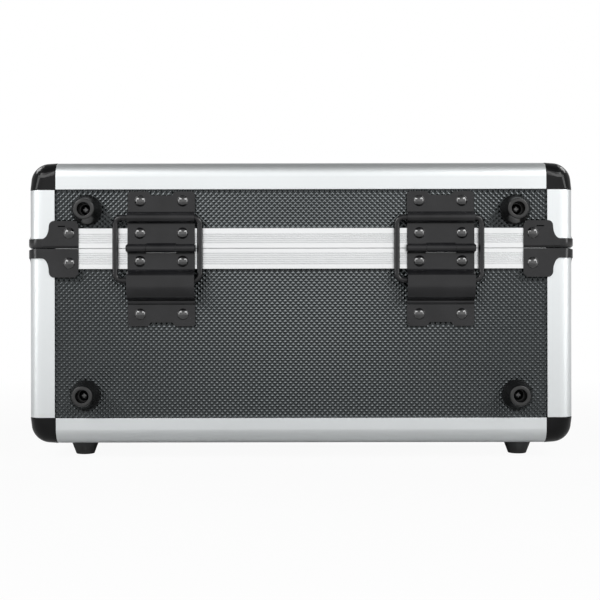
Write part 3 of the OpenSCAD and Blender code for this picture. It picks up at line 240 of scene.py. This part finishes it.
def soft_edges(obj, width, segments, angle):
    bevel = obj.modifiers.new("bevel", "BEVEL")
    bevel.width = width
    bevel.segments = segments
    bevel.limit_method = "ANGLE"
    bevel.angle_limit = math.radians(angle)
    bevel.use_clamp_overlap = True
    even = obj.modifiers.new("even", "WEIGHTED_NORMAL")
    even.keep_sharp = True


# Every node gets its finish, and the metal, plastic and rubber ones small soft edges
EDGE_WIDTHS = {"satin_aluminium": 0.25 * MM, "ribbed_aluminium": 0.06 * MM, "gloss_plastic": 0.6 * MM,
               "black_fastener": 0.15 * MM, "black_steel": 0.3 * MM, "rubber": 0.4 * MM,
               "grip_rubber": 0.5 * MM, "bright_steel": 0.2 * MM}
WELD_REACH = 0.02 * MM
for node_name, node_object in NODES.items():
    node_slot = SLOT_OF[node_name]
    dress(node_object, node_slot)
    if node_slot in EDGE_WIDTHS:
        weld = node_object.modifiers.new("weld", "WELD")
        weld.merge_threshold = WELD_REACH
        soft_edges(node_object, EDGE_WIDTHS[node_slot], segments=2, angle=35)


# Sheets of grid points, closed by straight sides and a flat back
def cell_corners(rows, columns):
    """Point numbers at the four corners of each cell of a grid, in order round the cell."""
    index = np.arange(rows * columns).reshape(rows, columns)
    return [part.ravel() for part in (index[:-1, :-1], index[1:, :-1], index[1:, 1:], index[:-1, 1:])]


def closed_sheet(name, points, faces, axis, back_level):
    """A mesh of the sheet, its sides and its back. The sheet's points come first."""
    rows, columns, _ = points.shape
    index = np.arange(rows * columns).reshape(rows, columns)
    rim = np.concatenate([index[:, 0], index[-1, 1:], index[-2::-1, -1], index[0, -2:0:-1]])
    sheet = points.reshape(-1, 3)
    back = sheet[rim]
    back[:, axis] = back_level
    ring = np.arange(len(rim)) + len(sheet)
    sides = np.stack([rim, np.roll(rim, -1), np.roll(ring, -1), ring], 1)
    mesh = bpy.data.meshes.new(name)
    all_faces = faces.tolist() + sides.tolist() + [ring.tolist()]
    mesh.from_pydata(np.concatenate([sheet, back]).tolist(), [], all_faces)
    work = bmesh.new()
    work.from_mesh(mesh)
    bmesh.ops.recalc_face_normals(work, faces=work.faces)
    work.to_mesh(mesh)
    work.free()
    return mesh


# Embossed laminate: small square pyramids on their corners, between grid points of half a pitch
HALF_PITCH = (1.98 * MM, 1.915 * MM)
EMBOSS_DEPTH = 0.64 * MM
SLAB_THICKNESS = 5 * MM


def embossed_slab(node, side, axis, sign, body):
    """Stands for a node, or for one side of it; the sign says which way along the axis it faces."""
    low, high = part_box(node)
    outer = high[axis] if sign > 0 else low[axis]
    across = [a for a in range(3) if a != axis]
    counts = [max(2, round((high[a] - low[a]) / pitch)) + 1 for a, pitch in zip(across, HALF_PITCH)]
    valley = np.add.outer(np.arange(counts[0]), np.arange(counts[1])) % 2
    points = np.zeros((*counts, 3))
    points[..., across[0]] = np.linspace(low[across[0]], high[across[0]], counts[0])[:, None]
    points[..., across[1]] = np.linspace(low[across[1]], high[across[1]], counts[1])
    points[..., axis] = outer - sign * EMBOSS_DEPTH * valley
    a, b, c, d = cell_corners(*counts)
    # The cut runs from valley to valley: through b and d where a is a peak, and through a and c elsewhere
    peak_first = (valley[:-1, :-1] == 0).reshape(-1, 1)
    first = np.where(peak_first, np.stack([a, b, d], 1), np.stack([a, b, c], 1))
    second = np.where(peak_first, np.stack([b, c, d], 1), np.stack([a, c, d], 1))
    name = "embossed_" + node + side
    mesh = closed_sheet(name, points, np.concatenate([first, second]), axis, outer - sign * SLAB_THICKNESS)
    peak = mesh.attributes.new("peak", "FLOAT", "POINT")
    values = np.zeros(len(mesh.vertices))
    values[:valley.size] = 1.0 - valley.ravel()
    peak.data.foreach_set("value", values)
    obj = link(bpy.data.objects.new(name, mesh))
    dress(obj, "laminate")
    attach(obj, body)
    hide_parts(node)


WALLS = (("_rear_panel", "", 1, -1), ("_front_panel", "", 1, 1),
         ("_side_panels", "_left", 0, -1), ("_side_panels", "_right", 0, 1))
for body in ("base", "lid"):
    for wall, side, axis, sign in WALLS:
        embossed_slab(body + wall, side, axis, sign, body)
embossed_slab("base_bottom_panel", "", 2, -1, "base")
embossed_slab("lid_top_panel", "", 2, 1, "lid")


# Foam insert with wells, one block with soft edges and open pores
WELL_SLACK = 0.4 * MM


def foam_holes():
    """Plan boxes of the wells and the cable bay, each a little wider than the opening in the record."""
    holes = []
    for opening in frame["record"]["physics"]["openings"]:
        if opening["name"].startswith("well_") or opening["name"] == "cable_bay":
            (x0, y0, _), (x1, y1, _) = opening["box_m"]
            holes.append((x0 - WELL_SLACK, y0 - WELL_SLACK, x1 + WELL_SLACK, y1 + WELL_SLACK))
    return holes


def foam_insert():
    low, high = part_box("foam_walls")
    floor_low, floor_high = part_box("foam_floor")
    top, pit, under = high.z, floor_high.z, floor_low.z
    holes = foam_holes()

    def breakpoints(axis):
        marks = [low[axis], high[axis]]
        for hole in holes:
            marks += [hole[axis], hole[axis + 2]]
        return sorted({round(mark, 6) for mark in marks})

    def is_hole(x, y):
        return any(h[0] < x < h[2] and h[1] < y < h[3] for h in holes)

    work = bmesh.new()
    made = {}

    def face(*corners):
        for corner in corners:
            if corner not in made:
                made[corner] = work.verts.new(corner)
        work.faces.new([made[corner] for corner in corners])

    xs, ys = breakpoints(0), breakpoints(1)
    cells = {}
    for i, (x0, x1) in enumerate(zip(xs, xs[1:])):
        for j, (y0, y1) in enumerate(zip(ys, ys[1:])):
            cells[i, j] = is_hole((x0 + x1) / 2, (y0 + y1) / 2)
    for (i, j), hole in cells.items():
        x0, x1, y0, y1 = xs[i], xs[i + 1], ys[j], ys[j + 1]
        z = pit if hole else top
        face((x0, y0, z), (x1, y0, z), (x1, y1, z), (x0, y1, z))
        face((x0, y1, under), (x1, y1, under), (x1, y0, under), (x0, y0, under))
        if cells.get((i + 1, j), hole) != hole:
            face((x1, y0, pit), (x1, y1, pit), (x1, y1, top), (x1, y0, top))
        if cells.get((i, j + 1), hole) != hole:
            face((x0, y1, pit), (x1, y1, pit), (x1, y1, top), (x0, y1, top))
    for x0, x1 in zip(xs, xs[1:]):
        for y in (ys[0], ys[-1]):
            face((x0, y, under), (x1, y, under), (x1, y, top), (x0, y, top))
    for y0, y1 in zip(ys, ys[1:]):
        for x in (xs[0], xs[-1]):
            face((x, y0, under), (x, y1, under), (x, y1, top), (x, y0, top))
    bmesh.ops.recalc_face_normals(work, faces=work.faces)
    bmesh.ops.dissolve_limit(work, angle_limit=math.radians(1), verts=work.verts, edges=work.edges)
    mesh = bpy.data.meshes.new("foam_insert")
    work.to_mesh(mesh)
    work.free()
    for poly in mesh.polygons:
        poly.use_smooth = True
    obj = link(bpy.data.objects.new("foam_insert", mesh))
    soft_edges(obj, width=3 * MM, segments=4, angle=40)
    dress(obj, "foam")
    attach(obj, "base")
    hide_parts("foam_floor", "foam_walls", "foam_dividers")


# Convoluted foam pad in the lid: its underside is a sheet of rounded peaks and hollows
WAVE_PITCH = 26 * MM
WAVE_SWING = 5 * MM
WAVE_STEPS = 8


def lid_pad():
    low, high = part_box("lid_foam")
    count_x = max(2, round((high.x - low.x) / WAVE_PITCH)) * WAVE_STEPS + 1
    count_y = max(2, round((high.y - low.y) / WAVE_PITCH)) * WAVE_STEPS + 1
    wave_x = np.sin(math.pi * np.arange(count_x) / WAVE_STEPS)
    wave_y = np.sin(math.pi * np.arange(count_y) / WAVE_STEPS)
    points = np.zeros((count_x, count_y, 3))
    points[..., 0] = np.linspace(low.x, high.x, count_x)[:, None]
    points[..., 1] = np.linspace(low.y, high.y, count_y)
    points[..., 2] = low.z + WAVE_SWING * (1 + np.outer(wave_x, wave_y))
    a, b, c, d = cell_corners(count_x, count_y)
    mesh = closed_sheet("lid_pad", points, np.stack([a, d, c, b], 1), axis=2, back_level=high.z)
    for poly in mesh.polygons:
        poly.use_smooth = len(poly.vertices) == 4
    obj = link(bpy.data.objects.new("lid_pad", mesh))
    dress(obj, "foam")
    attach(obj, "lid")
    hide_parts("lid_foam")


foam_insert()
lid_pad()

# The room is white to the camera. To the case it is bright behind the camera, dim at the sides and dimmer
# overhead, in these strengths
ROOM = 0.34
FRONT_GLOW = 0.7
BACK_GLOW = 0.26
CEILING = 0.45
world = bpy.data.worlds.new("studio")
bpy.context.scene.world = world
world.use_nodes = True
wt = world.node_tree
direction = wt.nodes.new("ShaderNodeTexCoord").outputs["Generated"]


def facing(toward, edge, full):
    """1 where the direction points toward a place, and 0 far from it; edge and full are cosines."""
    node = wt.nodes.new("ShaderNodeVectorMath")
    node.operation = "DOT_PRODUCT"
    node.inputs[1].default_value = Vector(toward).normalized()
    wt.links.new(direction, node.inputs[0])
    return map_range(wt, node.outputs["Value"], edge, full, 0.0, 1.0)


front_glow = math_node(wt, "MULTIPLY", facing((0.12, -1, 0.2), edge=0.3, full=0.97), FRONT_GLOW)
back_glow = math_node(wt, "MULTIPLY", facing((0, 1, 0), edge=0.8, full=0.95), BACK_GLOW)
walls = math_node(wt, "ADD", math_node(wt, "ADD", front_glow, back_glow), ROOM)
overhead = map_range(wt, facing((0, 0, 1), edge=0.45, full=0.85), 0.0, 1.0, 1.0, CEILING)
room = math_node(wt, "MULTIPLY", walls, overhead)
to_camera = wt.nodes.new("ShaderNodeLightPath").outputs["Is Camera Ray"]
background = find(wt, "BACKGROUND")
wt.links.new(math_node(wt, "MAXIMUM", room, to_camera), background.inputs["Strength"])
background.inputs["Color"].default_value = (1, 1, 1, 1)

# Floor, pale and matt, fading into white far from the case
FLOOR_REACH = 30.0
FLOOR_GREY = 0.52
floor_mesh = bpy.data.meshes.new("floor")
floor_corners = [(x * FLOOR_REACH, y * FLOOR_REACH, 0) for x, y in ((-1, -1), (1, -1), (1, 1), (-1, 1))]
floor_mesh.from_pydata(floor_corners, [], [(0, 1, 2, 3)])
floor = link(bpy.data.objects.new("floor", floor_mesh))
floor_mat, ft, floor_shader, floor_place = new_material("floor")
floor_shader.inputs["Base Color"].default_value = (FLOOR_GREY, FLOOR_GREY, FLOOR_GREY, 1)
floor_shader.inputs["Roughness"].default_value = 0.9
floor_shader.inputs["Specular IOR Level"].default_value = 0.0
glow = ft.nodes.new("ShaderNodeEmission")
glow.inputs["Color"].default_value = (1, 1, 1, 1)
distance = ft.nodes.new("ShaderNodeVectorMath")
distance.operation = "LENGTH"
ft.links.new(floor_place, distance.inputs[0])
away = distance.outputs["Value"]
seen_white = map_range(ft, away, start=0.3, end=0.8, at_start=0.94, at_end=1.0)
mirrored_white = map_range(ft, away, start=0.5, end=1.2, at_start=0.0, at_end=0.85)
rays = ft.nodes.new("ShaderNodeLightPath").outputs
mirrored = math_node(ft, "ADD", rays["Is Glossy Ray"], rays["Is Transmission Ray"], clamp=True)
white = math_node(ft, "ADD", math_node(ft, "MULTIPLY", rays["Is Camera Ray"], seen_white),
                  math_node(ft, "MULTIPLY", mirrored, mirrored_white), clamp=True)
mix = ft.nodes.new("ShaderNodeMixShader")
ft.links.new(white, mix.inputs["Fac"])
ft.links.new(floor_shader.outputs["BSDF"], mix.inputs[1])
ft.links.new(glow.outputs["Emission"], mix.inputs[2])
ft.links.new(mix.outputs["Shader"], find(ft, "OUTPUT_MATERIAL").inputs["Surface"])
floor_mesh.materials.append(floor_mat)


# Lamps
def soft_box(name, place, aim_y, width, height, power):
    data = bpy.data.lights.new(name, "AREA")
    data.shape = "RECTANGLE"
    data.size = width
    data.size_y = height
    data.energy = power
    lamp = link(bpy.data.objects.new(name, data))
    lamp.location = place
    toward_case = Vector((0, aim_y, MID_HEIGHT)) - Vector(place)
    lamp.rotation_euler = toward_case.to_track_quat("-Z", "Y").to_euler()


def around(azimuth, elevation, distance):
    """A place round the case: azimuth 0 is behind the camera, and grows toward the right of the picture."""
    turn, rise = math.radians(azimuth), math.radians(elevation)
    reach = distance * math.cos(rise)
    return (reach * math.sin(turn), -reach * math.cos(turn), MID_HEIGHT + distance * math.sin(rise))


for hand, side in (("left", -1), ("right", 1)):
    soft_box("soft_box_" + hand, around(side * 42, elevation=34, distance=1.7), rear_y,
             width=0.8, height=0.5, power=6.0)
    soft_box("strip_" + hand, around(side * 64, elevation=22, distance=1.4), rear_y,
             width=0.28, height=1.2, power=4.2)
    soft_box("latch_box_" + hand, around(180 + side * 62, elevation=40, distance=1.7), front_y,
             width=0.7, height=0.5, power=5.0)
